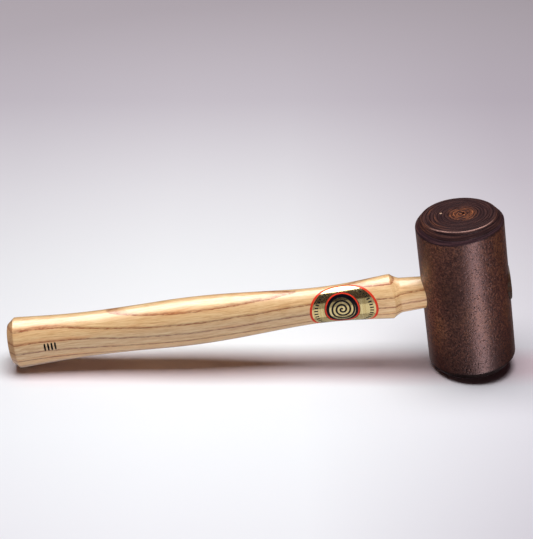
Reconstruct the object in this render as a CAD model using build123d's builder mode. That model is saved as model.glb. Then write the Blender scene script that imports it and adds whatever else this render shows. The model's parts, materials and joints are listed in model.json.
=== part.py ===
"""Rawhide mallet: a head rolled from strips of hide, wedged on an ash handle.

The mallet lies at rest on z = 0, on the lower rim of its head and the lower edge of its butt, with the
origin under the middle of its box. X runs from butt to head and Z is up.
"""

from build123d import *
from math import atan2, cos, pi, radians, sin
import os

os.makedirs("parts", exist_ok=True)

# Head: a turned cylinder of rolled hide
head_radius = 25.0
head_length = 94.5
rim_radial = 3.8
rim_axial = 4.6

# Rolled strips: each turn takes one pitch, a strip and its film of glue
turn_pitch = 1.89
glue_gap = 0.1
strip_thickness = turn_pitch - glue_gap
coil_start = 0.6
core_half_turns = 8
middle_half_turns = 9
outer_half_turns = 9
middle_first = core_half_turns
outer_first = core_half_turns + middle_half_turns
lap_angle = 147.0

# Handle: half-heights of the oval grip, at distances from the head's axis towards the butt
axis_rise = 1.0
oval_ratio = 0.88
butt_end = 262.5
butt_half = 15.2
butt_bevel_axial = 4.1
butt_bevel_radial = 3.5
butt_station = butt_end - butt_bevel_axial
grip_profile = [
    (butt_station, butt_half),
    (234.0, 13.7),
    (210.0, 13.15),
    (186.0, 13.6),
    (162.0, 14.25),
    (138.0, 13.7),
    (106.0, 11.55),
    (82.0, 10.55),
    (62.0, 11.4),
    (42.3, 13.05),
    (head_radius, 13.6),
]

# Cove and neck, turned round the handle's axis
cove_start = 43.6
cove_start_radius = 14.2
cove_end = 37.0
cove_sagitta = 0.6
neck_start_radius = 9.85
neck_end_radius = 9.1
turning_radius = 20.0

# Tenon and its wedge in the flared eye
tenon_end = 25.3
tenon_half_height = 10.1
tenon_half_width = 9.2
wedge_length = 30.0
wedge_thick = 3.2
kerf_width = 0.8
kerf_length = 35.0

# Pin in the upper face
pin_radius = 0.65
pin_length = 15.0
pin_tip = 2.0
pin_tip_radius = 0.15
pin_x = -9.45
pin_y = 4.45
pin_align = (Align.CENTER, Align.CENTER, Align.MAX)

# Foil label on the near side of the grip, an oval wrapped round it
label_centre = 69.8
label_half_length = 19.5
label_half_wrap = radians(82.0)
label_thickness = 0.1
label_points = 24

# Rest pose: the tilt that brings the head's rim and the butt to the same level
face_radius = head_radius - rim_radial
rest_tilt = atan2(head_length / 2 + axis_rise - butt_half, butt_station - face_radius)
tilt_cos = cos(rest_tilt)
tilt_sin = sin(rest_tilt)
head_height = face_radius * tilt_sin + head_length / 2 * tilt_cos
head_reach = head_radius * tilt_cos + (head_length / 2 - rim_axial) * tilt_sin
butt_reach = butt_end * tilt_cos + (axis_rise + butt_half - butt_bevel_radial) * tilt_sin
head_x = (butt_reach - head_reach) / 2

# The tool's own plane: x along the handle, z along the head, origin at the head's middle
tool = Plane(
    origin=(head_x, 0, head_height),
    x_dir=(tilt_cos, 0, tilt_sin),
    z_dir=(-tilt_sin, 0, tilt_cos),
)
head_side = Plane(origin=tool.origin, x_dir=tool.x_dir, z_dir=-tool.y_dir)
head_axis = Axis(origin=tool.origin, direction=tool.z_dir)
coil_x = tool.x_dir.rotate(head_axis, lap_angle)
coil_middle = Plane(origin=tool.origin, x_dir=coil_x, z_dir=tool.z_dir)
coil_bottom = coil_middle.offset(-head_length / 2)
pin_mouth = tool * Pos(pin_x, pin_y, head_length / 2)
pin_shoulder = tool * Pos(pin_x, pin_y, head_length / 2 - pin_length)
handle_middle = tool.from_local_coords((0, 0, axis_rise))
handle_side = Plane(origin=handle_middle, x_dir=tool.x_dir, z_dir=-tool.y_dir)
handle_axis = Axis(origin=handle_side.origin, direction=tool.x_dir)
kerf_place = tool * Pos(tenon_end - kerf_length / 2, 0, axis_rise)


def station(distance):
    """The plane square to the handle at a distance from the head's axis, towards the butt."""
    origin = handle_side.from_local_coords((-distance, 0, 0))
    return Plane(origin=origin, x_dir=tool.y_dir, z_dir=tool.x_dir)


def oval(distance, half_width, half_height):
    """An oval section square to the handle."""
    with BuildSketch(station(distance)) as section:
        Ellipse(half_width, half_height)
    return section.sketch


def grip_sections(growth=0.0):
    """Oval sections of the grip, each grown outwards by the same amount."""
    sections = []
    for distance, half_height in grip_profile:
        sections.append(oval(distance, half_height * oval_ratio + growth, half_height + growth))
    return sections


def grip_half_height(distance):
    """The grip's half-height at a distance, straight between the listed sections."""
    for (far, far_half), (near, near_half) in zip(grip_profile, grip_profile[1:]):
        if near <= distance <= far:
            share = (distance - near) / (far - near)
            return near_half + share * (far_half - near_half)
    return butt_half


def tenon_sections():
    """The round near end and the oval far end of the tenon, which also shape the eye."""
    near_end = oval(head_radius, neck_end_radius, neck_end_radius)
    far_end = oval(-tenon_end, tenon_half_width, tenon_half_height)
    return [near_end, far_end]


def coil_facing(half_turn):
    """The side of the coil on which a half turn starts."""
    return 1 if half_turn % 2 == 0 else -1


def coil_edge(half_turn, offset):
    """Where a spiral line, offset outwards, stands on the coil's x axis as a half turn starts."""
    radius = coil_start + half_turn * turn_pitch / 2 + offset
    return coil_facing(half_turn) * (radius - turn_pitch / 4)


def strip_section(plane, first, half_turns):
    """The end section of one rolled strip, a ribbon between two spiral lines.

    A spiral line is half circles on two alternate centres, each half a pitch larger than the last.
    """
    with BuildSketch(plane) as section:
        with BuildLine():
            for half_turn in range(first, first + half_turns):
                centre = -coil_facing(half_turn) * turn_pitch / 4
                radius = coil_start + half_turn * turn_pitch / 2
                start_angle = 90 - 90 * coil_facing(half_turn)
                CenterArc((centre, 0), radius, start_angle, 180)
                CenterArc((centre, 0), radius + strip_thickness, start_angle, 180)
            for half_turn in (first, first + half_turns):
                Line((coil_edge(half_turn, 0), 0), (coil_edge(half_turn, strip_thickness), 0))
        make_face()
    return section.sketch


def head_outline():
    """Half the head's long section, with its chamfered rims."""
    half = head_length / 2
    with BuildSketch(head_side) as section:
        with BuildLine():
            Polyline(
                (0, -half),
                (face_radius, -half),
                (head_radius, rim_axial - half),
                (head_radius, half - rim_axial),
                (face_radius, half),
                (0, half),
                close=True,
            )
        make_face()
    return section.sketch


def cove_outline():
    """What the lathe takes away beyond the shoulder, down to the cove and the neck."""
    with BuildSketch(handle_side) as section:
        with BuildLine():
            SagittaArc((-cove_start, cove_start_radius), (-cove_end, neck_start_radius), cove_sagitta)
            Polyline(
                (-cove_end, neck_start_radius),
                (-head_radius, neck_end_radius),
                (-head_radius, turning_radius),
                (-cove_start, turning_radius),
                (-cove_start, cove_start_radius),
            )
        make_face()
    return section.sketch


def wedge_outline():
    """The wedge's long section, thin end first."""
    thin_x = tenon_end - wedge_length
    with BuildSketch(handle_side) as section:
        with BuildLine():
            Polyline(
                (thin_x, -kerf_width / 2),
                (tenon_end, -wedge_thick / 2),
                (tenon_end, wedge_thick / 2),
                (thin_x, kerf_width / 2),
                close=True,
            )
        make_face()
    return section.sketch


def label_outline():
    """The label's oval as seen from the side: an ellipse wrapped round the grip."""
    points = []
    for index in range(label_points):
        turn = 2 * pi * index / label_points
        along = label_centre - label_half_length * cos(turn)
        height = grip_half_height(along) * sin(label_half_wrap * sin(turn))
        points.append((-along, height))
    with BuildSketch(handle_side) as section:
        with BuildLine():
            Spline(points, periodic=True)
        make_face()
    return section.sketch


# The outermost strip, whose last turn is turned down to a thin lap
with BuildPart() as outer_wrap:
    extrude(strip_section(coil_bottom, outer_first, outer_half_turns), amount=head_length)
    revolve(head_outline(), axis=head_axis, mode=Mode.INTERSECT)
    loft(tenon_sections(), mode=Mode.SUBTRACT)

# The strip inside it, drilled for the pin
with BuildPart() as middle_wrap:
    extrude(strip_section(coil_bottom, middle_first, middle_half_turns), amount=head_length)
    loft(tenon_sections(), mode=Mode.SUBTRACT)
    with Locations(pin_mouth):
        Cylinder(pin_radius, pin_length, align=pin_align, mode=Mode.SUBTRACT)
    with Locations(pin_shoulder):
        Cone(pin_tip_radius, pin_radius, pin_tip, align=pin_align, mode=Mode.SUBTRACT)

# The core roll, which the eye cuts in two
with BuildPart() as core_upper:
    extrude(strip_section(coil_middle, 0, core_half_turns), amount=head_length / 2)
    loft(tenon_sections(), mode=Mode.SUBTRACT)

with BuildPart() as core_lower:
    extrude(strip_section(coil_middle, 0, core_half_turns), amount=-head_length / 2)
    loft(tenon_sections(), mode=Mode.SUBTRACT)

# A headless pin, driven flush into the upper face
with BuildPart() as face_pin:
    with Locations(pin_mouth):
        Cylinder(pin_radius, pin_length, align=pin_align)
    with Locations(pin_shoulder):
        Cone(pin_tip_radius, pin_radius, pin_tip, align=pin_align)

# The handle: oval grip, bevelled butt, turned cove and neck, and the kerfed tenon
with BuildPart() as handle:
    loft(grip_sections())
    butt_start = oval(butt_station, butt_half * oval_ratio, butt_half)
    butt_face = oval(butt_end, butt_half * oval_ratio - butt_bevel_radial, butt_half - butt_bevel_radial)
    loft([butt_start, butt_face], ruled=True)
    revolve(cove_outline(), axis=handle_axis, mode=Mode.SUBTRACT)
    loft(tenon_sections())
    extrude(wedge_outline(), amount=turning_radius, both=True, mode=Mode.SUBTRACT)
    with Locations(kerf_place):
        Box(kerf_length, 2 * turning_radius, kerf_width, mode=Mode.SUBTRACT)

# The wedge fills the opened kerf and is trimmed flush with the tenon
with BuildPart() as wedge:
    loft(tenon_sections())
    extrude(wedge_outline(), amount=turning_radius, both=True, mode=Mode.INTERSECT)

# The foil label, a thin skin on the near side of the grip
with BuildPart() as label:
    loft(grip_sections(label_thickness))
    loft(grip_sections(), mode=Mode.SUBTRACT)
    extrude(label_outline(), amount=turning_radius, mode=Mode.INTERSECT)

pieces = {
    "outer_wrap": outer_wrap,
    "middle_wrap": middle_wrap,
    "core_upper": core_upper,
    "core_lower": core_lower,
    "face_pin": face_pin,
    "handle": handle,
    "wedge": wedge,
    "label": label,
}
for name, piece in pieces.items():
    piece.part.label = name
    export_step(piece.part, f"parts/{name}.step")
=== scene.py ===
"""Looks of the rawhide mallet: rolled hide head, varnished ash handle, foil label.

Pieces are drawn in the tool's own axes, in metres: x along the handle towards the head, z along the head,
origin at the head's middle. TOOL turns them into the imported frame, where the mallet lies at rest, and the
materials turn back to the tool's axes.
"""

import json
import math

import bpy
import numpy as np
from mathutils import Matrix, Vector, noise


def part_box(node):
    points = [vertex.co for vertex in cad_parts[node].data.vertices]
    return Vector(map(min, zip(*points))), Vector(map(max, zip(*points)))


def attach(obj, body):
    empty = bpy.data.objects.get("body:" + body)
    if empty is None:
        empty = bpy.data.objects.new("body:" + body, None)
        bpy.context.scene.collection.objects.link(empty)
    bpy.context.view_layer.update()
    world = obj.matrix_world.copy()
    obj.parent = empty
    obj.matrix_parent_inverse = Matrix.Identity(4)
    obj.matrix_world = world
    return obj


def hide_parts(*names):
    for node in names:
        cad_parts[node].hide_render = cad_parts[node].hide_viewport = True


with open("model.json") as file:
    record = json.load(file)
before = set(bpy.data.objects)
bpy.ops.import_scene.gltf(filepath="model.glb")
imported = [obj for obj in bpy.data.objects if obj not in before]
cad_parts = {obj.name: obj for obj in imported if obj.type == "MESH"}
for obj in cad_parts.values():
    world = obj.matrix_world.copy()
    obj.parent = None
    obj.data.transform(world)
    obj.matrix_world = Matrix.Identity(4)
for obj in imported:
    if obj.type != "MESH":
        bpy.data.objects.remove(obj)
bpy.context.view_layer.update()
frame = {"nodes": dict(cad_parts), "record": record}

MM = 0.001

# ---------------------------------------------------------------- places read from the frame
mounts = {mount["name"]: mount for mount in frame["record"]["mounts"]}
upper = Vector(mounts["upper_face"]["pos_m"])
lower = Vector(mounts["lower_face"]["pos_m"])
butt = Vector(mounts["butt_face"]["pos_m"])
head_up = Vector(mounts["upper_face"]["axis"]).normalized()
side_way = Vector((0, 1, 0))
handle_way = side_way.cross(head_up)
head_middle = (upper + lower) / 2
head_middle.y = 0
TOOL = Matrix((handle_way, side_way, head_up)).transposed().to_4x4()
TOOL.translation = head_middle
half_length = (upper - lower).length / 2
wrap_low, wrap_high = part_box("outer_wrap")
head_radius = (wrap_high.y - wrap_low.y) / 2
butt_in_tool = TOOL.inverted() @ butt
butt_end = -butt_in_tool.x
axis_rise = butt_in_tool.z

# ---------------------------------------------------------------- sizes shared with the CAD, in metres
RIM_RADIAL = 3.8 * MM
RIM_AXIAL = 4.6 * MM
PITCH = 1.89 * MM
STRIP = 1.79 * MM
COIL_START = 0.13 * MM
LAP_ANGLE = math.radians(147)
CORE_TURNS = 4.0
MIDDLE_TURNS = 8.5
ALL_TURNS = 13.0
OVAL = 0.88
BUTT_BEVEL_AXIAL = 4.1 * MM
BUTT_BEVEL_RADIAL = 3.5 * MM
GRIP = [(258.4, 15.2), (234.0, 13.7), (210.0, 13.15), (186.0, 13.6), (162.0, 14.25), (138.0, 13.7),
        (106.0, 11.55), (82.0, 10.55), (62.0, 11.4), (42.3, 13.05), (25.0, 13.6)]
COVE_START = (-43.6 * MM, 14.2 * MM)
COVE_END = (-37.0 * MM, 9.85 * MM)
COVE_SAG = 0.6 * MM
NECK_END = 9.1 * MM
TENON_END = 25.3 * MM
TENON_HALF_HEIGHT = 10.1 * MM
TENON_HALF_WIDTH = 9.2 * MM
WEDGE_THICK = 3.2 * MM
WEDGE_LENGTH = 30 * MM
KERF = 0.8 * MM
LABEL_MIDDLE = -69.8 * MM
LABEL_HALF_LENGTH = 19.5 * MM
LABEL_HALF_WRAP = 16.2 * MM
face_radius = head_radius - RIM_RADIAL


# ---------------------------------------------------------------- small tools
def smooth(low, high, value):
    """0 below low, 1 above high, with an even slope between."""
    share = np.clip((value - low) / (high - low), 0, 1)
    return share * share * (3 - 2 * share)


def wobble(x, y, z, scale, seed=0.0):
    """Smooth noise from about -1 to 1 at a point, with features of the given size in metres."""
    return noise.noise(Vector((x / scale + seed, y / scale - seed, z / scale + 2 * seed)))


def turned_object(name, vertices, faces):
    """A mesh object whose points are given in the tool's axes."""
    mesh = bpy.data.meshes.new(name)
    turned = np.asarray(vertices, float) @ np.array(TOOL.to_3x3()).T + np.array(TOOL.translation)
    mesh.from_pydata(turned.tolist(), [], faces)
    mesh.validate()
    piece = bpy.data.objects.new(name, mesh)
    bpy.context.scene.collection.objects.link(piece)
    return piece


def finish_piece(name, vertices, faces, material, replaced=(), cutter=None):
    """A smooth piece drawn in the tool's axes, riding on the one body."""
    piece = turned_object(name, vertices, faces)
    if cutter is not None:
        cut_with(piece, cutter)
    piece.data.polygons.foreach_set("use_smooth", [True] * len(piece.data.polygons))
    piece.data.materials.append(material)
    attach(piece, "root")
    if replaced:
        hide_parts(*replaced)
    return piece


def cut_with(piece, cutter):
    """Takes the cutter's shape out of a piece, and the cutter out of the scene."""
    cut = piece.modifiers.new("cut", "BOOLEAN")
    cut.operation = "DIFFERENCE"
    cut.solver = "EXACT"
    cut.object = cutter
    whole = piece.evaluated_get(bpy.context.evaluated_depsgraph_get())
    piece.data = bpy.data.meshes.new_from_object(whole)
    piece.modifiers.clear()
    bpy.data.objects.remove(cutter)


def grid_faces(rows, columns, closed=True, first=0):
    """Quads between rows of vertices that were listed row by row."""
    faces = []
    for row in range(rows - 1):
        for column in range(columns if closed else columns - 1):
            after = (column + 1) % columns
            here = first + row * columns
            faces.append((here + column, here + after, here + columns + after, here + columns + column))
    return faces


# ---------------------------------------------------------------- node helpers
class Nodes:
    """Short calls for one material's node tree."""

    def __init__(self, name):
        self.material = bpy.data.materials.new(name)
        self.material.use_nodes = True
        self.tree = self.material.node_tree
        self.tree.nodes.clear()
        self.tool_axes = None
        self.out = self.add("ShaderNodeOutputMaterial")
        self.shader = self.add("ShaderNodeBsdfPrincipled")
        self.link(self.shader.outputs["BSDF"], self.out.inputs["Surface"])

    def add(self, kind, **settings):
        node = self.tree.nodes.new(kind)
        for key, value in settings.items():
            setattr(node, key, value)
        return node

    def link(self, source, target):
        self.tree.links.new(source, target)

    def put(self, value, target):
        """A link for a socket, a plain value otherwise."""
        if isinstance(value, bpy.types.NodeSocket):
            self.link(value, target)
        else:
            target.default_value = value

    def math(self, operation, a, b=0.0, c=0.0, clamp=False):
        node = self.add("ShaderNodeMath", operation=operation, use_clamp=clamp)
        for value, target in zip((a, b, c), node.inputs):
            self.put(value, target)
        return node.outputs[0]

    def place(self, scale=(1, 1, 1), offset=(0, 0, 0)):
        """Coordinates in the tool's axes, in metres times scale."""
        if self.tool_axes is None:
            coordinates = self.add("ShaderNodeTexCoord")
            turned = self.add("ShaderNodeMapping")
            back = TOOL.inverted()
            turned.inputs["Location"].default_value = back.translation
            turned.inputs["Rotation"].default_value = back.to_euler()
            self.link(coordinates.outputs["Object"], turned.inputs["Vector"])
            self.tool_axes = turned.outputs["Vector"]
        mapping = self.add("ShaderNodeMapping")
        mapping.inputs["Scale"].default_value = scale
        mapping.inputs["Location"].default_value = offset
        self.link(self.tool_axes, mapping.inputs["Vector"])
        return mapping.outputs["Vector"]

    def axes(self, vector):
        """A vector's x, y and z."""
        split = self.add("ShaderNodeSeparateXYZ")
        self.link(vector, split.inputs[0])
        return split.outputs

    def vector(self, x, y, z):
        """A vector made of three values."""
        join = self.add("ShaderNodeCombineXYZ")
        for value, target in zip((x, y, z), join.inputs):
            self.put(value, target)
        return join.outputs[0]

    def noise(self, vector, scale, detail=4.0, rough=0.5):
        node = self.add("ShaderNodeTexNoise")
        self.link(vector, node.inputs["Vector"])
        node.inputs["Scale"].default_value = scale
        node.inputs["Detail"].default_value = detail
        node.inputs["Roughness"].default_value = rough
        return node.outputs["Fac"]

    def cells(self, vector, scale):
        """Distance to the nearest of many scattered points."""
        node = self.add("ShaderNodeTexVoronoi")
        self.link(vector, node.inputs["Vector"])
        node.inputs["Scale"].default_value = scale
        return node.outputs["Distance"]

    def ramp(self, value, stops):
        """A colour read from a list of (position, colour) stops."""
        node = self.add("ShaderNodeValToRGB")
        while len(node.color_ramp.elements) < len(stops):
            node.color_ramp.elements.new(0.5)
        for element, (position, colour) in zip(node.color_ramp.elements, stops):
            element.position = position
            element.color = (*colour, 1)
        self.link(value, node.inputs["Fac"])
        return node.outputs["Color"]

    def band(self, value, low, high):
        """0 at low and 1 at high, clamped; low may be above high."""
        node = self.add("ShaderNodeMapRange", clamp=True)
        self.put(value, node.inputs["Value"])
        node.inputs["From Min"].default_value = low
        node.inputs["From Max"].default_value = high
        return node.outputs["Result"]

    def mix(self, share, a, b, blend="MIX"):
        node = self.add("ShaderNodeMix", data_type="RGBA", blend_type=blend)
        self.put(share, node.inputs["Factor"])
        self.put(a if isinstance(a, bpy.types.NodeSocket) else (*a, 1), node.inputs["A"])
        self.put(b if isinstance(b, bpy.types.NodeSocket) else (*b, 1), node.inputs["B"])
        return node.outputs["Result"]

    def bump(self, height, strength, distance, under=None):
        node = self.add("ShaderNodeBump")
        node.inputs["Strength"].default_value = strength
        node.inputs["Distance"].default_value = distance
        self.link(height, node.inputs["Height"])
        if under is not None:
            self.link(under, node.inputs["Normal"])
        return node.outputs["Normal"]

    def set(self, **values):
        """Inputs of the surface shader, with _ for each space in a name."""
        for key, value in values.items():
            self.put(value, self.shader.inputs[key.replace("_", " ")])


def tone(red, green, blue):
    """An sRGB colour, 0 to 255, as linear light."""
    def linear(value):
        share = value / 255
        return share / 12.92 if share <= 0.04045 else ((share + 0.055) / 1.055) ** 2.4
    return (linear(red), linear(green), linear(blue))


# ---------------------------------------------------------------- materials
RING_SPACING = 5.4 * MM
RING_LEVEL = 5.85 * MM
RING_DROP = 3.2 * MM
DROP_MIDDLE = -0.212
DROP_LENGTH = 0.028


def ash_rings(nodes):
    """Where a point lies between growth rings, 0 to 1.

    The rings are nearly level layers that drop by about a ring along the butt half of the handle.
    """
    x, y, z = nodes.axes(nodes.place())
    drop = nodes.math("TANH", nodes.math("DIVIDE", nodes.math("SUBTRACT", x, DROP_MIDDLE), DROP_LENGTH))
    level = nodes.math("MULTIPLY_ADD", drop, RING_DROP, z)
    crown = nodes.math("MULTIPLY", nodes.math("MULTIPLY", y, y), 9.0)
    level = nodes.math("ADD", level, crown)
    slow = nodes.noise(nodes.place((14, 90, 90)), 1.0, 2.0)
    level = nodes.math("MULTIPLY_ADD", slow, 2.4 * MM, level)
    fine = nodes.noise(nodes.place((150, 420, 420), (3, 1, 2)), 1.0, 4.0, 0.6)
    level = nodes.math("MULTIPLY_ADD", fine, 0.9 * MM, level)
    level = nodes.math("SUBTRACT", level, RING_LEVEL)
    return nodes.math("FRACT", nodes.math("DIVIDE", level, RING_SPACING))


def ash_material():
    """Varnished ash: brown pore lines at each ring, long grain, a stained tenon end and a clear coat."""
    nodes = Nodes("ash")
    ring = ash_rings(nodes)
    pores = nodes.noise(nodes.place((330, 2600, 2600)), 1.0, 3.0, 0.6)
    dashes = nodes.band(pores, 0.40, 0.56)
    line_edge = nodes.band(ring, 0.0, 0.025)
    line_fade = nodes.band(ring, 0.27, 0.07)
    line = nodes.math("MULTIPLY", line_edge, line_fade)
    line = nodes.math("MULTIPLY", line, nodes.math("MULTIPLY_ADD", dashes, 0.6, 0.4))
    fine_line = nodes.math("MULTIPLY", nodes.band(ring, 0.40, 0.43), nodes.band(ring, 0.52, 0.44))
    fine_line = nodes.math("MULTIPLY", fine_line, dashes)
    grain = nodes.noise(nodes.place((80, 1700, 1700), (1, 2, 3)), 1.0, 5.0, 0.68)
    broad = nodes.noise(nodes.place((22, 130, 130), (5, 1, 4)), 1.0, 3.0)
    base = nodes.ramp(grain, [(0.3, tone(206, 150, 92)), (0.5, tone(238, 198, 144)),
                              (0.7, tone(252, 222, 170))])
    late = nodes.band(ring, 0.35, 1.0)
    base = nodes.mix(nodes.math("MULTIPLY", late, 0.30), base, tone(220, 166, 116))
    flame = nodes.math("MULTIPLY", nodes.band(broad, 0.48, 0.66), nodes.band(ring, 0.55, 0.12))
    base = nodes.mix(nodes.math("MULTIPLY", flame, 0.6), base, tone(232, 146, 78))
    base = nodes.mix(nodes.math("MULTIPLY", fine_line, 0.30), base, tone(190, 124, 76))
    base = nodes.mix(line, base, tone(150, 80, 36))
    x = nodes.axes(nodes.place())[0]
    cut = nodes.band(x, -0.2582, -0.2590)
    base = nodes.mix(nodes.math("MULTIPLY", cut, 0.4), base, tone(186, 120, 78))
    stained = nodes.band(x, 0.018, 0.022)
    base = nodes.mix(nodes.math("MULTIPLY", stained, 0.93), base, tone(60, 34, 27))
    coat_share = nodes.math("MULTIPLY_ADD", stained, -0.9, 0.9)
    nodes.set(Base_Color=base, Roughness=0.42, Coat_Weight=coat_share, Coat_Roughness=0.13, Coat_IOR=1.5)
    height = nodes.math("MULTIPLY_ADD", line, -0.6, grain)
    nodes.set(Normal=nodes.bump(height, 0.3, 0.0001))
    under = nodes.noise(nodes.place((60, 240, 240)), 1.0, 2.0)
    coat = nodes.bump(under, 0.15, 0.0004)
    nodes.set(Coat_Normal=nodes.bump(dashes, 0.08, 0.0001, coat))
    return nodes.material


def hide_side_material():
    """The turned outside of the head: mottled red-brown hide with dark pinholes, semi-gloss, with painted
    shade towards the bottom and a dark band along both rims that is partly stain and partly painted shade.
    """
    nodes = Nodes("outer_hide")
    place = nodes.place()
    mottle = nodes.noise(place, 800, 5.0, 0.8)
    blotch = nodes.noise(nodes.place((1, 1, 0.6), (2, 3, 1)), 95, 4.0, 0.6)
    broad = nodes.noise(nodes.place((1, 1, 0.5), (4, 1, 7)), 30, 2.0)
    colour = nodes.ramp(mottle, [(0.37, tone(52, 23, 18)), (0.5, tone(106, 58, 46)),
                                 (0.61, tone(166, 104, 75))])
    golden = nodes.math("MULTIPLY", nodes.band(blotch, 0.46, 0.66), nodes.band(mottle, 0.40, 0.62))
    colour = nodes.mix(nodes.math("MULTIPLY", golden, 0.6), colour, tone(160, 102, 52))
    colour = nodes.mix(nodes.math("MULTIPLY", nodes.band(broad, 0.54, 0.36), 0.6), colour, tone(72, 36, 30))
    height = nodes.axes(place)[2]
    # Painted shade: the hide is darkened towards the bottom of the head.
    below = nodes.math("MULTIPLY", nodes.band(height, -0.008, -0.038), 0.6)
    colour = nodes.mix(below, colour, tone(56, 30, 29))
    pits = nodes.cells(nodes.place((1, 1, 0.8)), 950)
    pit = nodes.band(pits, 0.38, 0.20)
    choose = nodes.band(nodes.noise(place, 300, 3.0), 0.46, 0.58)
    pit = nodes.math("MULTIPLY", pit, choose)
    colour = nodes.mix(nodes.math("MULTIPLY", pit, 0.9), colour, tone(24, 10, 12))
    # Dark band along both rims, carried a little onto the side: partly the rims' dark stain, partly painted
    # shade of the rounded edge.
    edge = nodes.math("ABSOLUTE", height)
    uneven = nodes.math("MULTIPLY_ADD", nodes.noise(place, 60, 3.0), 3.0 * MM, edge)
    rim_stain_and_shade = nodes.band(uneven, half_length - RIM_AXIAL - 0.2 * MM, half_length - RIM_AXIAL + 1.6 * MM)
    colour = nodes.mix(nodes.math("MULTIPLY", rim_stain_and_shade, 0.9), colour, tone(38, 22, 25))
    # Painted shade: near-black on the side round the eye, where the neck and the tenon enter.
    eye_shade = nodes.add("ShaderNodeAttribute", attribute_name="eye_shade")
    colour = nodes.mix(eye_shade.outputs["Fac"], colour, tone(26, 13, 11))
    nodes.set(Base_Color=colour)
    rough = nodes.math("MULTIPLY_ADD", mottle, 0.20, 0.30)
    nodes.set(Roughness=rough, Specular_IOR_Level=0.5)
    skin = nodes.noise(place, 1500, 4.0, 0.6)
    bumps = nodes.math("MULTIPLY_ADD", pit, -1.8, skin)
    nodes.set(Normal=nodes.bump(bumps, 0.55, 0.0001))
    return nodes.material


def hide_face_material(name, glow, dark=tone(30, 18, 21), plain=tone(52, 32, 33), light=tone(80, 52, 47)):
    """End of the roll: fibres along the turns, dark glue at the edges, orange hide where glow is high, a
    lighter rubbed edge with a painted highlight in front, and painted shade on the lower face and its
    chamfer.
    """
    nodes = Nodes(name)
    x, y, z = nodes.axes(nodes.place())
    turn = nodes.add("ShaderNodeAttribute", attribute_name="turn").outputs["Fac"]
    glue = nodes.add("ShaderNodeAttribute", attribute_name="glue").outputs["Fac"]
    worn = nodes.add("ShaderNodeAttribute", attribute_name="worn").outputs["Fac"]
    radius = nodes.math("SQRT", nodes.math("ADD", nodes.math("MULTIPLY", x, x), nodes.math("MULTIPLY", y, y)))
    angle = nodes.math("ARCTAN2", nodes.math("SUBTRACT", y, COIL_SHIFT[1]),
                       nodes.math("SUBTRACT", x, COIL_SHIFT[0]))
    cos = nodes.math("COSINE", angle)
    sin = nodes.math("SINE", angle)
    swirl = nodes.vector(nodes.math("MULTIPLY", turn, 3.4), nodes.math("MULTIPLY", cos, 1.3),
                         nodes.math("MULTIPLY", sin, 1.3))
    fibre = nodes.noise(swirl, 1.0, 5.0, 0.62)
    wide = nodes.noise(nodes.vector(nodes.math("MULTIPLY", turn, 0.55), cos, sin), 1.3, 2.0)
    speck = nodes.noise(nodes.place(), 1400, 4.0, 0.65)
    colour = nodes.ramp(fibre, [(0.34, dark), (0.5, plain), (0.64, light)])
    warm = nodes.ramp(fibre, [(0.38, tone(44, 25, 27)), (0.5, tone(96, 56, 42)), (0.60, tone(166, 100, 62))])
    left = nodes.math("MULTIPLY", nodes.band(cos, -0.55, -0.95), nodes.band(radius, 0.011, 0.015))
    left = nodes.math("MULTIPLY", left, nodes.band(wide, 0.46, 0.70))
    centre = nodes.math("MULTIPLY", nodes.band(turn, 5.4, 2.6), nodes.band(wide, 0.30, 0.52))
    share = nodes.math("MULTIPLY_ADD", left, 0.4, nodes.math("MULTIPLY", centre, glow), clamp=True)
    colour = nodes.mix(share, colour, warm)
    colour = nodes.mix(nodes.math("MULTIPLY", nodes.band(speck, 0.55, 0.42), 0.35), colour, tone(34, 20, 22))
    colour = nodes.mix(nodes.math("MULTIPLY", glue, 0.75), colour, tone(32, 19, 22))
    # The rubbed edge is lighter hide, and towards the front it is much lighter still: a painted highlight.
    front = nodes.band(y, -0.010, -0.017)
    line = nodes.mix(front, tone(86, 55, 46), tone(176, 134, 124))
    rubbed = nodes.math("MULTIPLY", worn, nodes.band(nodes.math("ADD", speck, wide), 0.72, 1.0))
    colour = nodes.mix(rubbed, colour, line)
    # Painted shade: the lower face and its chamfer are darkened.
    lower_rim_shade = nodes.band(z, -0.038, -0.041)
    colour = nodes.mix(nodes.math("MULTIPLY", lower_rim_shade, 0.85), colour, tone(14, 9, 14))
    rough = nodes.math("MULTIPLY_ADD", worn, -0.14, 0.5)
    nodes.set(Base_Color=colour, Roughness=rough, Specular_IOR_Level=0.32)
    bumps = nodes.math("MULTIPLY_ADD", speck, 0.4, fibre)
    nodes.set(Normal=nodes.bump(bumps, 0.6, 0.00012))
    return nodes.material


def plain_material(name, colour, **values):
    """A material with slight colour variation, for small parts."""
    nodes = Nodes(name)
    speck = nodes.noise(nodes.place(), 2500, 3.0)
    shade = tuple(channel * 0.55 for channel in colour)
    nodes.set(Base_Color=nodes.mix(nodes.band(speck, 0.35, 0.7), colour, shade), **values)
    nodes.set(Normal=nodes.bump(speck, 0.3, 0.00005))
    return nodes.material


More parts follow.
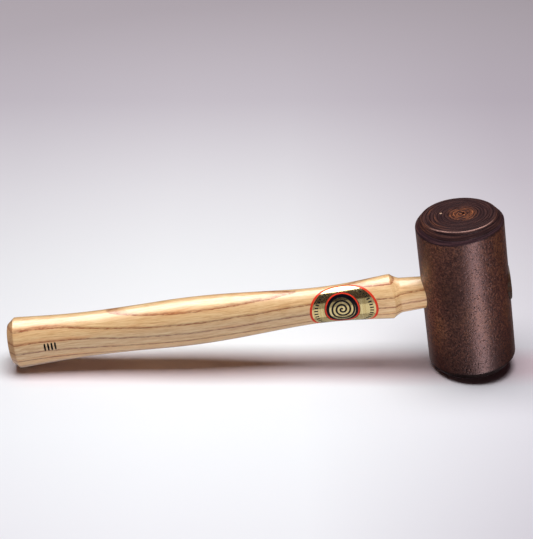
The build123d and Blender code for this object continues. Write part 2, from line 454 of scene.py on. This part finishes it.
# ---------------------------------------------------------------- head
COIL_SHIFT = (2.4 * MM, 1.2 * MM)
INNER_STOP = 12.5 * MM
ACROSS = (0.0, 0.03, 0.08, 0.16, 0.28, 0.42, 0.58, 0.72, 0.84, 0.92, 0.97, 1.0)
EDGE_ROUND = 0.2 * MM
SKIN_COLUMNS = 840
SKIN_ROWS = 250
PINHOLES = 1500
RIM_WEAR = 1.5 * MM
RIM_WEAR_ANGLE = math.radians(245)
RIM_WEAR_SPREAD = math.radians(48)
RIM_SOFTNESS = 0.22 * MM
STEPS_PER_TURN = 200
CONE_ROWS = 15
PINHOLE_SIZES = (0.22, 0.42)
PINHOLE_DEPTHS = (0.06, 0.16)
EYE_SLACK = 0.4 * MM
EYE_DENT = 0.35 * MM
EYE_BORDER = 0.9 * MM
GLUE_BORDER = 0.26 * MM
RUBBED_OUTER = 0.44 * MM
RUBBED_INNER = 0.10 * MM


def rim_growth(x, y, side):
    """How much further in the chamfer starts: the upper rim is worn down in front, towards the butt."""
    away = math.remainder(math.atan2(y, x) - RIM_WEAR_ANGLE, 2 * math.pi) / RIM_WEAR_SPREAD
    return RIM_WEAR * math.exp(-away * away) if side > 0 else 0.0


def envelope(x, y, side):
    """Half-height of the turned head at a point: flat face, softly rounded into the rim's chamfer."""
    past = math.hypot(x, y) - face_radius + rim_growth(x, y, side)
    past = RIM_SOFTNESS * float(np.logaddexp(0, past / RIM_SOFTNESS))
    return half_length - past * RIM_AXIAL / RIM_RADIAL


def coil_radius(turn):
    """Inner radius of the strip after a number of turns."""
    return COIL_START + PITCH * turn


def shifted(x, y):
    """The coil was wound off centre: its middle stands a little away from the handle and the near side."""
    share = np.maximum(0, 1 - (x * x + y * y) / head_radius**2)
    return x + COIL_SHIFT[0] * share, y + COIL_SHIFT[1] * share


def face_drop(turn, share, x, y):
    """How far below the turned face a point of a strip's end lies."""
    edge = min(share, 1 - share) * STRIP
    rounded = 0.14 * MM * (1 - float(smooth(0, EDGE_ROUND, edge)))
    uneven = 0.035 * MM * (1 + wobble(math.cos(turn * 6.3) * 0.01, turn * 0.002, 0, 0.004))
    rough = 0.02 * MM * (1 + wobble(x, y, 0, 0.0008, 3.0))
    return 0.03 * MM + rounded + uneven + rough


def add_values(piece, values):
    """Named numbers on the vertices, for the materials."""
    for key, numbers in values.items():
        attribute = piece.data.attributes.new(key, "FLOAT", "POINT")
        attribute.data.foreach_set("value", [float(number) for number in numbers])


def wear_and_highlight_share(x, y, side):
    """1 on the rubbed edge between face and chamfer, 0 away from it; it places both the lighter rubbed hide
    and a painted highlight.
    """
    past = math.hypot(x, y) - face_radius + rim_growth(x, y, side)
    return float(smooth(RUBBED_OUTER, RUBBED_INNER, abs(past + 0.05 * MM)))


def strip_piece(name, first, last, side, material, replaced):
    """One rolled strip between two turn numbers, from inside the head out to the face on one side."""
    steps = int((last - first) * STEPS_PER_TURN)
    vertices, values = [], {"turn": [], "glue": [], "worn": []}
    for step in range(steps + 1):
        turn = first + (last - first) * step / steps
        inner = coil_radius(turn)
        angle = LAP_ANGLE + 2 * math.pi * turn
        for share, top in [(share, True) for share in ACROSS] + [(1.0, False), (0.0, False)]:
            radius = inner + share * STRIP
            x, y = shifted(radius * math.cos(angle), radius * math.sin(angle))
            level = envelope(x, y, side) - face_drop(turn, share, x, y) if top else INNER_STOP
            vertices.append((x, y, side * level))
            edge = min(share, 1 - share) * STRIP
            values["turn"].append(turn + share)
            values["glue"].append(1 - float(smooth(0.0, GLUE_BORDER, edge)))
            values["worn"].append(wear_and_highlight_share(x, y, side) if top else 0)
    ring = len(ACROSS) + 2
    faces = grid_faces(steps + 1, ring)
    faces.append(tuple(range(ring))[::-1])
    faces.append(tuple(steps * ring + i for i in range(ring)))
    if side < 0:
        faces = [face[::-1] for face in faces]
    piece = finish_piece(name, vertices, faces, material, replaced)
    add_values(piece, values)
    return piece


def pinhole_depth(rng):
    """A table of small pits over the head's side, by row and column."""
    depth = np.zeros((SKIN_ROWS, SKIN_COLUMNS + 1))
    row_gap = 2 * (half_length - RIM_AXIAL) / SKIN_ROWS
    column_gap = 2 * math.pi * head_radius / SKIN_COLUMNS
    for _ in range(PINHOLES):
        row, column = rng.uniform(3, SKIN_ROWS - 4), rng.uniform(3, SKIN_COLUMNS - 3)
        size = rng.uniform(*PINHOLE_SIZES) * MM
        rows = np.arange(int(row) - 2, int(row) + 4)
        columns = np.arange(int(column) - 3, int(column) + 5)
        rows = rows[(rows >= 0) & (rows < SKIN_ROWS)]
        columns = columns[(columns >= 0) & (columns <= SKIN_COLUMNS)]
        far = np.hypot((rows[:, None] - row) * row_gap, (columns[None, :] - column) * column_gap)
        pit = rng.uniform(*PINHOLE_DEPTHS) * MM * np.exp(-((far / size) ** 2))
        block = np.ix_(rows, columns)
        depth[block] = np.maximum(depth[block], pit)
    return depth


def eye_gap(y, z, radius):
    """Distance from the edge of the round eye, on the head's side."""
    return math.hypot(y, z - axis_rise) - radius


def skin_piece(side_material, face_material):
    """The last turn of the outer strip: the head's outside, its rims and its thin lap."""
    rng = np.random.default_rng(41)
    pits = pinhole_depth(rng)
    cone = np.linspace(0, 1, CONE_ROWS)
    vertices, on_face, eye_shade = [], [], []
    values = {"turn": [], "glue": [], "worn": []}
    for column in range(SKIN_COLUMNS + 1):
        share = column / SKIN_COLUMNS
        angle = LAP_ANGLE + 2 * math.pi * share
        inner = coil_radius(ALL_TURNS - 1 + share)
        outer = min(head_radius, inner + STRIP)
        ca, sa = math.cos(angle), math.sin(angle)
        rim_top = envelope(outer * ca, outer * sa, 1)
        rim_bottom = -envelope(outer * ca, outer * sa, -1)
        for side in (1, -1):
            rows = []
            for part in cone:
                radius = inner + (outer - inner) * part
                x, y = shifted(radius * ca, radius * sa)
                level = envelope(x, y, side)
                edge = part * (outer - inner)
                dent = 0.10 * MM * (1 - float(smooth(0, EDGE_ROUND, edge)))
                dent += 0.03 * MM * (1 + wobble(x, y, side, 0.0015, 2.0))
                dent += 0.07 * MM * float(smooth(0.3 * MM, 0.0, outer - radius))
                inwards = 1 - dent / radius
                rows.append((x * inwards, y * inwards, side * (level - dent), part, True))
            if side > 0:
                for row in range(SKIN_ROWS):
                    height = rim_top + (rim_bottom - rim_top) * (row + 0.5) / SKIN_ROWS
                    rim_gap = min(rim_top - height, height - rim_bottom)
                    dent = 0.03 * MM * (1 + wobble(ca * 0.025, sa * 0.025, height, 0.006))
                    dent += 0.018 * MM * (1 + wobble(ca * 0.025, sa * 0.025, height, 0.0011, 5.0))
                    dent += pits[row, column]
                    dent += 0.12 * MM * float(smooth(0.5 * MM, 0.0, rim_gap))
                    gap = eye_gap(outer * sa, height, NECK_END if ca < 0 else TENON_HALF_WIDTH + EYE_SLACK)
                    dent += EYE_DENT * float(smooth(EYE_BORDER, 0.1 * MM, gap))
                    radius = outer - dent
                    rows.append((radius * ca, radius * sa, height, 1.0, False))
                    # Painted shade round the eye, for the side material.
                    eye_shade.append(float(smooth(EYE_BORDER, 0.0, gap)))
            else:
                rows.reverse()
            for x, y, z, part, face in rows:
                vertices.append((x, y, z))
                on_face.append(face)
                values["turn"].append(ALL_TURNS - 1 + share + part)
                values["glue"].append(1 - float(smooth(0.0, 0.2 * MM, part * (outer - inner))) if face else 0)
                values["worn"].append(wear_and_highlight_share(x, y, 1 if z > 0 else -1) if face else 0)
    ring = SKIN_ROWS + 2 * len(cone)
    every = np.zeros((SKIN_COLUMNS + 1, ring))
    every[:, len(cone):len(cone) + SKIN_ROWS] = np.array(eye_shade).reshape(SKIN_COLUMNS + 1, SKIN_ROWS)
    values["eye_shade"] = every.ravel()
    faces = grid_faces(SKIN_COLUMNS + 1, ring, closed=False)
    faces.append(tuple(range(ring)))
    faces.append(tuple(SKIN_COLUMNS * ring + i for i in range(ring))[::-1])
    faces = [face[::-1] for face in faces]
    piece = finish_piece("outer_wrap_skin", vertices, faces, side_material, ("outer_wrap",))
    piece.data.materials.append(face_material)
    for polygon in piece.data.polygons:
        if sum(on_face[v] for v in polygon.vertices) >= 2 and len(polygon.vertices) == 4:
            polygon.material_index = 1
    add_values(piece, values)
    return piece


def build_head():
    """All the rolled strips; returns the pieces."""
    side_hide = hide_side_material()
    rim_hide = hide_face_material("rim_hide", 0.0, tone(38, 23, 29), tone(58, 38, 44), tone(80, 54, 57))
    pieces = [skin_piece(side_hide, rim_hide)]
    outer = hide_face_material("outer_face_hide", 0.0)
    middle = hide_face_material("middle_face_hide", 0.55)
    core = hide_face_material("core_face_hide", 1.0)
    for side, word in ((1, "upper"), (-1, "lower")):
        pieces.append(strip_piece(f"outer_turns_{word}", MIDDLE_TURNS, ALL_TURNS - 1, side, outer,
                                  ("outer_wrap",)))
        pieces.append(strip_piece(f"middle_turns_{word}", CORE_TURNS, MIDDLE_TURNS, side, middle,
                                  ("middle_wrap",)))
        pieces.append(strip_piece(f"core_{word}_turns", 0.0, CORE_TURNS, side, core,
                                  (f"core_{word}",)))
    return pieces


# ---------------------------------------------------------------- handle
HANDLE_POINTS = 256
BUTT_CORNER = 0.4 * MM
SHOULDER_SOFTNESS = 0.25 * MM
TURNING_STARTS = -0.046
SHOULDER_SEARCH = (-0.0435, -0.0370)
FINE_START = -0.050
FINE_END = -0.0345
UNTURNED_RADIUS = 0.03
TENON_ROUND = 0.5 * MM
SLOT_GAP = 0.06 * MM
SLOT_HALF_WIDTH = 14 * MM
SCRAPE_DEPTH = 0.05 * MM
SCRAPE_LENGTH = 0.022


def spline(points):
    """A natural cubic through (x, value) points, as a function of arrays."""
    xs = np.array([p[0] for p in points], float)
    ys = np.array([p[1] for p in points], float)
    gaps, count = np.diff(xs), len(xs)
    matrix, right = np.eye(count), np.zeros(count)
    for i in range(1, count - 1):
        matrix[i, i - 1:i + 2] = gaps[i - 1], 2 * (gaps[i - 1] + gaps[i]), gaps[i]
        right[i] = 6 * ((ys[i + 1] - ys[i]) / gaps[i] - (ys[i] - ys[i - 1]) / gaps[i - 1])
    bends = np.linalg.solve(matrix, right)

    def value(x):
        x = np.clip(np.asarray(x, float), xs[0], xs[-1])
        i = np.clip(np.searchsorted(xs, x) - 1, 0, count - 2)
        a, b, gap = xs[i + 1] - x, x - xs[i], gaps[i]
        curve = (bends[i] * a**3 + bends[i + 1] * b**3) / (6 * gap)
        line = (ys[i] / gap - bends[i] * gap / 6) * a + (ys[i + 1] / gap - bends[i + 1] * gap / 6) * b
        return curve + line
    return value


grip_half_height = spline([(-far * MM, half * MM) for far, half in GRIP])


def turned_radius(x):
    """Radius of the cove and the neck, which were turned round the handle's axis."""
    x = np.asarray(x, float)
    chord = math.hypot(COVE_END[0] - COVE_START[0], COVE_END[1] - COVE_START[1])
    arc_radius = (chord**2 / 4 + COVE_SAG**2) / (2 * COVE_SAG)
    middle = ((COVE_START[0] + COVE_END[0]) / 2, (COVE_START[1] + COVE_END[1]) / 2)
    normal = ((COVE_START[1] - COVE_END[1]) / chord, (COVE_END[0] - COVE_START[0]) / chord)
    centre = [middle[i] + normal[i] * (arc_radius - COVE_SAG) for i in (0, 1)]
    cove = centre[1] - np.sqrt(np.maximum(arc_radius**2 - (x - centre[0]) ** 2, 0))
    neck = np.interp(x, [COVE_END[0], -head_radius], [COVE_END[1], NECK_END])
    return np.where(x < COVE_START[0], UNTURNED_RADIUS, np.where(x < COVE_END[0], cove, neck))


def grip_point(x, turn):
    """y and z of the oval grip's surface, from the handle's axis, at parametric angle turn."""
    height = grip_half_height(x)
    return height * OVAL * np.cos(turn), height * np.sin(turn)


def handle_ring(x, turns):
    """y and z round the finished handle at one station, or at one station per angle."""
    y, z = grip_point(x, turns)
    length = np.hypot(y, z)
    limit = turned_radius(x)
    blend = np.clip(0.5 + 0.5 * (limit - length) / SHOULDER_SOFTNESS, 0, 1)
    radius = limit * (1 - blend) + length * blend - SHOULDER_SOFTNESS * blend * (1 - blend)
    radius = np.where(np.asarray(x) < TURNING_STARTS, length, radius)
    return y * radius / length, z * radius / length


def shoulder_stations(turns):
    """Where the oval grip meets the turned cove, for each angle."""
    xs = np.linspace(*SHOULDER_SEARCH, 400)
    found = []
    for turn in turns:
        y, z = grip_point(xs, turn)
        found.append(xs[np.argmin(np.abs(np.hypot(y, z) - turned_radius(xs)))])
    found = np.array(found)
    kernel = np.ones(9) / 9
    return np.convolve(np.concatenate([found[-4:], found, found[:4]]), kernel, "valid")


def wedge_slot():
    """A prism a little larger than the wedge, from its thin end out past the tenon."""
    slope = (WEDGE_THICK - KERF) / 2 / WEDGE_LENGTH
    vertices = []
    for x in (TENON_END - WEDGE_LENGTH, TENON_END + MM):
        half = KERF / 2 + slope * (x - TENON_END + WEDGE_LENGTH) + SLOT_GAP
        for y, z in ((-1, -1), (1, -1), (1, 1), (-1, 1)):
            vertices.append((x, y * SLOT_HALF_WIDTH, axis_rise + z * half))
    faces = [(0, 3, 2, 1), (4, 5, 6, 7)] + [(i, (i + 1) % 4, (i + 1) % 4 + 4, i + 4) for i in range(4)]
    return turned_object("wedge_slot", vertices, faces)


def handle_piece(material):
    """The whole handle as rings of points: butt face, bevel, grip, shoulder, cove, neck and tenon."""
    count = HANDLE_POINTS
    turns = np.linspace(0, 2 * math.pi, count, endpoint=False)
    cos, sin = np.cos(turns), np.sin(turns)
    rings = []
    bevel_start = -butt_end + BUTT_BEVEL_AXIAL
    butt_half = float(grip_half_height(bevel_start))
    face_height = butt_half - BUTT_BEVEL_RADIAL
    face_width = butt_half * OVAL - BUTT_BEVEL_RADIAL

    def oval_ring(x, width, height):
        rings.append((np.full(count, x), width * cos, height * sin))

    for share in np.linspace(0.02, 0.94, 12):
        oval_ring(-butt_end, face_width * share, face_height * share)
    for step in np.linspace(0, 1, 25):
        axial = BUTT_BEVEL_AXIAL * step
        radial = BUTT_BEVEL_RADIAL * step
        round_low = BUTT_CORNER * 0.35 * (1 - float(smooth(0, BUTT_CORNER, axial)))
        round_high = BUTT_CORNER * 0.35 * (1 - float(smooth(0, BUTT_CORNER, BUTT_BEVEL_AXIAL - axial)))
        inset = BUTT_BEVEL_RADIAL - radial + round_high + round_low * 0.5
        oval_ring(-butt_end + axial + round_low * 0.5, butt_half * OVAL - inset, butt_half - inset)
    edge = shoulder_stations(turns)
    edge_mean = float(edge.mean())
    stations = np.concatenate([
        np.arange(bevel_start + 0.5 * MM, FINE_START, 0.9 * MM),
        np.arange(FINE_START, FINE_END, 0.14 * MM),
        np.arange(FINE_END, -0.021, 0.5 * MM),
    ])
    for x in stations:
        pull = float(smooth(FINE_START, -0.0425, x) * (1 - smooth(-0.0395, FINE_END, x)))
        at = x + (edge - edge_mean) * pull
        y, z = handle_ring(at, turns)
        near_butt = 0.12 * MM * float(smooth(2.0 * MM, 0, x - bevel_start))
        waves = [wobble(x, y[i] * 2, z[i] * 2, SCRAPE_LENGTH) for i in range(count)]
        dent = np.array([SCRAPE_DEPTH * (1 + wave) for wave in waves])
        dent = dent * float(1 - smooth(-0.048, -0.044, x)) + near_butt
        length = np.hypot(y, z)
        rings.append((at, y * (1 - dent / length), z * (1 - dent / length)))
    for x in np.arange(-0.020, TENON_END - 0.6 * MM, 1.5 * MM):
        share = (x + head_radius) / (TENON_END + head_radius)
        oval_ring(x, NECK_END + (TENON_HALF_WIDTH - NECK_END) * share,
                  NECK_END + (TENON_HALF_HEIGHT - NECK_END) * share)
    for step in np.linspace(0, math.pi / 2, 7):
        inset = TENON_ROUND * (1 - math.cos(step))
        x = TENON_END - TENON_ROUND * (1 - math.sin(step))
        oval_ring(x, TENON_HALF_WIDTH - inset, TENON_HALF_HEIGHT - inset)
    for share in np.linspace(0.9, 0.02, 12):
        oval_ring(TENON_END, TENON_HALF_WIDTH * share, TENON_HALF_HEIGHT * share)
    vertices = []
    for x, y, z in rings:
        vertices.extend(zip(x, y, z + axis_rise))
    faces = grid_faces(len(rings), count)
    faces.append(tuple(range(count))[::-1])
    faces.append(tuple((len(rings) - 1) * count + i for i in range(count)))
    faces = [face[::-1] for face in faces]
    return finish_piece("handle_wood", vertices, faces, material, ("handle",), wedge_slot())


# ---------------------------------------------------------------- label and mark on the grip
LABEL_SPAN = 40.0
LABEL_RINGS = 40
LABEL_POINTS = 192
LABEL_LIFT = 0.07 * MM
LABEL_EDGE_LIFT = -0.03 * MM
STROKES = 4
STROKE_FIRST = -241.2 * MM
STROKE_SPACING = 2.0 * MM
STROKE_HEIGHT = 1.6 * MM
STROKE_LENGTH = 4.6 * MM
STROKE_HALF_WIDTH = 0.52 * MM
STROKE_LIFT = 0.02 * MM


def wrap_turn(x, distance):
    """Parametric angle on the grip, from the -Y side, after a distance round its surface."""
    height = float(grip_half_height(x))
    samples = np.linspace(-math.pi, math.pi, 721)
    speed = np.hypot(height * OVAL * np.sin(samples), height * np.cos(samples))
    steps = (speed[1:] + speed[:-1]) / 2 * np.diff(samples)
    length = np.concatenate([[0], np.cumsum(steps)])
    length -= np.interp(0, samples, length)
    return np.interp(distance, length, samples)


def on_grip(x, distance, lift):
    """A point on the near side of the grip, distance being positive upwards."""
    turn = float(wrap_turn(x, distance))
    height = float(grip_half_height(x)) + lift
    return (x, -height * OVAL * math.cos(turn), height * math.sin(turn) + axis_rise)


def label_material():
    """Gold foil printed in black and red: a rim, tick marks and a roundel with a rolled spiral."""
    nodes = Nodes("label_foil")
    uv = nodes.add("ShaderNodeUVMap", uv_map="label")
    u, v, _ = nodes.axes(uv.outputs["UV"])
    u = nodes.math("MULTIPLY", nodes.math("SUBTRACT", u, 0.5), LABEL_SPAN)
    v = nodes.math("MULTIPLY", nodes.math("SUBTRACT", v, 0.5), LABEL_SPAN)

    def square(value):
        return nodes.math("MULTIPLY", value, value)

    across = nodes.math("DIVIDE", u, LABEL_HALF_LENGTH / MM)
    up = nodes.math("DIVIDE", v, LABEL_HALF_WRAP / MM)
    oval = nodes.math("SQRT", nodes.math("ADD", square(across), square(up)))
    beside = nodes.math("ADD", u, 0.9)
    above = nodes.math("SUBTRACT", v, 0.8)
    radius = nodes.math("SQRT", nodes.math("ADD", square(beside), square(above)))
    angle = nodes.math("ARCTAN2", above, beside)
    brush = nodes.noise(nodes.place((900, 60, 60)), 1.0, 3.0)
    gold = nodes.ramp(brush, [(0.3, tone(214, 190, 128)), (0.7, tone(238, 220, 166))])
    black = tone(18, 17, 24)
    red = tone(226, 62, 40)
    ticks = nodes.math("SINE", nodes.math("MULTIPLY", nodes.math("ARCTAN2", up, across), 46.0))
    ticks = nodes.band(ticks, 0.05, 0.35)
    ring = nodes.math("MULTIPLY", nodes.band(oval, 0.75, 0.76), nodes.band(oval, 0.87, 0.86))
    ends = nodes.band(nodes.math("ABSOLUTE", across), 0.42, 0.46)
    print_share = nodes.math("MULTIPLY", nodes.math("MULTIPLY", ticks, ring), ends)
    colour = nodes.mix(print_share, gold, black)
    disc = nodes.band(radius, 10.2, 10.1)
    colour = nodes.mix(disc, colour, black)
    circle = nodes.math("MULTIPLY", nodes.band(radius, 8.95, 9.05), nodes.band(radius, 9.9, 9.8))
    colour = nodes.mix(circle, colour, red)
    turn = nodes.math("DIVIDE", angle, 2 * math.pi)
    coil = nodes.math("FRACT", nodes.math("SUBTRACT", nodes.math("DIVIDE", radius, 2.3), turn))
    wire = nodes.math("MULTIPLY", nodes.band(coil, 0.18, 0.23), nodes.band(coil, 0.74, 0.69))
    wire = nodes.math("MULTIPLY", wire, nodes.band(radius, 7.55, 7.45))
    colour = nodes.mix(wire, colour, gold)
    rim = nodes.band(oval, 0.925, 0.933)
    colour = nodes.mix(rim, colour, red)
    ink = nodes.math("MAXIMUM", nodes.math("MAXIMUM", rim, print_share),
                     nodes.math("SUBTRACT", disc, wire, clamp=True))
    metal = nodes.math("MULTIPLY_ADD", ink, -0.9, 0.95)
    nodes.set(Base_Color=colour, Metallic=metal, Roughness=0.15)
    nodes.set(Coat_Weight=nodes.math("MULTIPLY_ADD", ink, -0.4, 0.4), Coat_Roughness=0.08)
    nodes.set(Specular_IOR_Level=nodes.math("MULTIPLY_ADD", ink, -0.35, 0.5))
    crinkle = nodes.noise(nodes.place(), 300, 3.0)
    nodes.set(Normal=nodes.bump(crinkle, 0.2, 0.0001))
    return nodes.material


def label_piece(material):
    """The oval foil, laid on the grip and wrapped round its near side."""
    vertices, uvs = [], []
    for ring in range(LABEL_RINGS + 1):
        share = 0.004 + 0.996 * ring / LABEL_RINGS
        for i in range(LABEL_POINTS):
            angle = 2 * math.pi * i / LABEL_POINTS
            along = LABEL_HALF_LENGTH * share * math.cos(angle)
            around = LABEL_HALF_WRAP * share * math.sin(angle)
            lift = LABEL_LIFT if ring < LABEL_RINGS else LABEL_EDGE_LIFT
            vertices.append(on_grip(LABEL_MIDDLE + along, around, lift))
            uvs.append((along / (LABEL_SPAN * MM) + 0.5, around / (LABEL_SPAN * MM) + 0.5))
    faces = grid_faces(LABEL_RINGS + 1, LABEL_POINTS)
    faces.append(tuple(range(LABEL_POINTS))[::-1])
    faces = [face[::-1] for face in faces]
    piece = finish_piece("label_foil", vertices, faces, material, ("label",))
    layer = piece.data.uv_layers.new(name="label")
    for loop in piece.data.loops:
        layer.data[loop.index].uv = uvs[loop.vertex_index]
    return piece


def size_tally(material):
    """Four short inked strokes near the butt, in place of a size numeral."""
    for stroke in range(STROKES):
        vertices = []
        middle = STROKE_FIRST + stroke * STROKE_SPACING
        across, along = 5, 24
        for row in range(along + 1):
            share = row / along
            around = STROKE_HEIGHT + (share - 0.5) * STROKE_LENGTH
            half = STROKE_HALF_WIDTH * min(1.0, 4 * share + 0.35, 4 * (1 - share) + 0.35)
            for column in range(across):
                side = column / (across - 1) * 2 - 1
                edge = half * (1 + 0.18 * wobble(middle, side, share * 3, 0.4))
                vertices.append(on_grip(middle + side * edge, around, STROKE_LIFT))
        faces = [face[::-1] for face in grid_faces(along + 1, across, closed=False)]
        finish_piece(f"size_stroke_{stroke + 1}", vertices, faces, material)


# ---------------------------------------------------------------- stage, camera and light
VIEW_AZIMUTH = -0.431
VIEW_ELEVATION = 28.635
VIEW_DISTANCE = 1.00814
VIEW_TARGET = (-0.113055, 0, 0.012664)
FOCAL = 119.42
SENSOR = 36
FLOOR_HALF = 10
HEAD_SPOT = (0.115, 0, 0.05)
HANDLE_SPOT = (-0.12, 0, 0.03)
WHITE = (1, 1, 1)


def look_from(position, target):
    """Rotation that points an object's -Z from one place to another, with +Y up."""
    return (Vector(target) - Vector(position)).to_track_quat("-Z", "Y").to_euler()


def place_camera():
    """The camera at the angle and distance of the picture that is wanted."""
    data = bpy.data.cameras.new("camera")
    data.sensor_fit = "VERTICAL"
    data.sensor_height = SENSOR
    data.lens = FOCAL
    data.clip_start = 0.05
    data.clip_end = 20
    camera = bpy.data.objects.new("camera", data)
    azimuth, elevation = math.radians(VIEW_AZIMUTH), math.radians(VIEW_ELEVATION)
    target = head_middle + Vector(VIEW_TARGET)
    away = Vector((math.sin(azimuth) * math.cos(elevation), -math.cos(azimuth) * math.cos(elevation),
                   math.sin(elevation)))
    camera.location = target + away * VIEW_DISTANCE
    camera.rotation_euler = look_from(camera.location, target)
    bpy.context.scene.collection.objects.link(camera)
    bpy.context.scene.camera = camera


def area_light(name, position, target, size, power, colour=WHITE):
    """A rectangular lamp that the camera doesn't see."""
    data = bpy.data.lights.new(name, "AREA")
    data.shape = "RECTANGLE"
    data.size, data.size_y = size
    data.energy = power
    data.color = colour
    light = bpy.data.objects.new(name, data)
    light.location = position
    light.rotation_euler = look_from(position, target)
    light.visible_camera = False
    bpy.context.scene.collection.objects.link(light)


def link_light(name, shines_on):
    """Keeps a light to the given pieces."""
    receivers = bpy.data.collections.new(name + "_receivers")
    bpy.data.objects[name].light_linking.receiver_collection = receivers
    for piece in shines_on:
        receivers.objects.link(piece)


def card(name, position, target, size, radiance, colour, shines_on):
    """A bright card that only glossy reflections on the given pieces see."""
    area_light(name, position, target, size, radiance * math.pi * size[0] * size[1], colour)
    bpy.data.objects[name].visible_diffuse = False
    link_light(name, shines_on)


def floor_material():
    """Pale, with painted shade: darker and grey-lilac further back, darker to the right and slightly to the
    left, a painted warm tint in the shadow under the handle, and a painted glow far away.
    """
    nodes = Nodes("floor")
    x, y, _ = nodes.axes(nodes.place())
    # Painted shade: the floor colour falls off further back, to the right and a little to the left, in place
    # of the lamp's falloff.
    colour = nodes.ramp(nodes.band(y, -0.16, 0.60), [
        (0.0, tone(235, 236, 241)), (0.12, tone(238, 241, 245)), (0.36, tone(232, 234, 237)),
        (0.51, tone(226, 225, 230)), (0.72, tone(213, 207, 216)), (1.0, tone(219, 210, 219))])
    near = nodes.band(y, 0.60, 0.25)
    right_shade_mask = nodes.band(x, -0.10, 0.06)
    colour = nodes.mix(nodes.math("MULTIPLY", right_shade_mask, near), colour, tone(232, 226, 231), "MULTIPLY")
    left = nodes.math("MULTIPLY", nodes.band(x, -0.18, -0.29), near)
    colour = nodes.mix(left, colour, tone(248, 247, 248), "MULTIPLY")
    front_right_shade = nodes.math("MULTIPLY", right_shade_mask, nodes.band(y, -0.06, -0.17))
    colour = nodes.mix(front_right_shade, colour, tone(240, 240, 241), "MULTIPLY")
    # Painted shadow: a warm tint in the strip under the handle and the head, where their shadow falls.
    beside = nodes.band(nodes.math("ABSOLUTE", nodes.math("ADD", y, 0.004)), 0.022, 0.006)
    along = nodes.math("MULTIPLY", nodes.band(x, -0.272, -0.252), nodes.band(x, 0.055, 0.035))
    colour = nodes.mix(nodes.math("MULTIPLY", beside, along), colour, tone(255, 236, 238), "MULTIPLY")
    # Painted light: the floor glows faintly far away.
    far = nodes.math("SQRT", nodes.math("ADD", nodes.math("MULTIPLY", x, x), nodes.math("MULTIPLY", y, y)))
    glow = nodes.math("MULTIPLY", nodes.band(far, 0.62, 1.5), 0.38)
    nodes.set(Base_Color=colour, Roughness=0.9, Specular_IOR_Level=0.1)
    nodes.set(Emission_Color=(*tone(232, 224, 231), 1), Emission_Strength=glow)
    return nodes.material


def build_stage(head_pieces, handle_pieces):
    """The floor, one soft lamp overhead, a small one at the neck, and the cards."""
    mesh = bpy.data.meshes.new("floor")
    corners = [(x * FLOOR_HALF, y * FLOOR_HALF, 0) for x, y in ((-1, -1), (1, -1), (1, 1), (-1, 1))]
    mesh.from_pydata(corners, [], [(0, 1, 2, 3)])
    mesh.materials.append(floor_material())
    floor = bpy.data.objects.new("floor", mesh)
    floor.visible_glossy = False
    floor.visible_shadow = False
    bpy.context.scene.collection.objects.link(floor)
    area_light("overhead", (-0.04, 0.0, 0.86), (-0.04, 0.0, 0), (0.75, 0.54), 9.8)
    bpy.data.objects["overhead"].visible_glossy = False
    area_light("neck_fill", (0.094, -0.062, 0.03), (0.088, 0, 0.052), (0.03, 0.03), 0.0117)
    bpy.data.objects["neck_fill"].visible_glossy = False
    link_light("neck_fill", handle_pieces)
    card("front_card", (-0.16, -0.60, -0.36), HANDLE_SPOT, (1.0, 0.8), 0.75, WHITE, handle_pieces)
    card("horizon_card", (-0.16, -0.69, 0.17), HANDLE_SPOT, (1.0, 0.34), 0.35, WHITE, handle_pieces)
    card("under_card", (-0.12, 0.10, -0.60), HANDLE_SPOT, (1.2, 0.9), 0.4, WHITE, handle_pieces)
    card("top_card", (-0.1, 0.324, 0.804), (-0.1, 0, 0.04), (1.6, 0.68), 6.0, WHITE, handle_pieces)
    card("head_top_card", (0.1, 0.30, 0.82), (0.115, 0, 0.09), (0.9, 0.6), 1.0, WHITE, head_pieces)
    card("band_card", (0.405, -0.53, -0.12), HEAD_SPOT, (0.20, 1.1), 8.4, (1, 0.68, 0.69), head_pieces)
    card("rear_card", (0.115, 0.60, -0.30), HEAD_SPOT, (1.1, 0.6), 0.36, (1, 0.85, 0.86), head_pieces)
    world = bpy.data.worlds.new("world")
    world.use_nodes = True
    background = world.node_tree.nodes["Background"]
    background.inputs["Color"].default_value = (1.0, 0.35, 0.35, 1)
    background.inputs["Strength"].default_value = 0.022
    bpy.context.scene.world = world
    bpy.context.scene.view_settings.view_transform = "Standard"


head_pieces = build_head()
handle_pieces = [handle_piece(ash_material()), label_piece(label_material())]
size_tally(plain_material("stamp_ink", tone(22, 18, 28), Roughness=0.5))
for node, slot, colour, rough in (("face_pin", "pin_brass", tone(214, 176, 150), 0.45),
                                  ("wedge", "wedge_wood", tone(128, 88, 60), 0.6)):
    materials = frame["nodes"][node].data.materials
    materials.clear()
    materials.append(plain_material(slot, colour, Roughness=rough))
build_stage(head_pieces, handle_pieces)
place_camera()
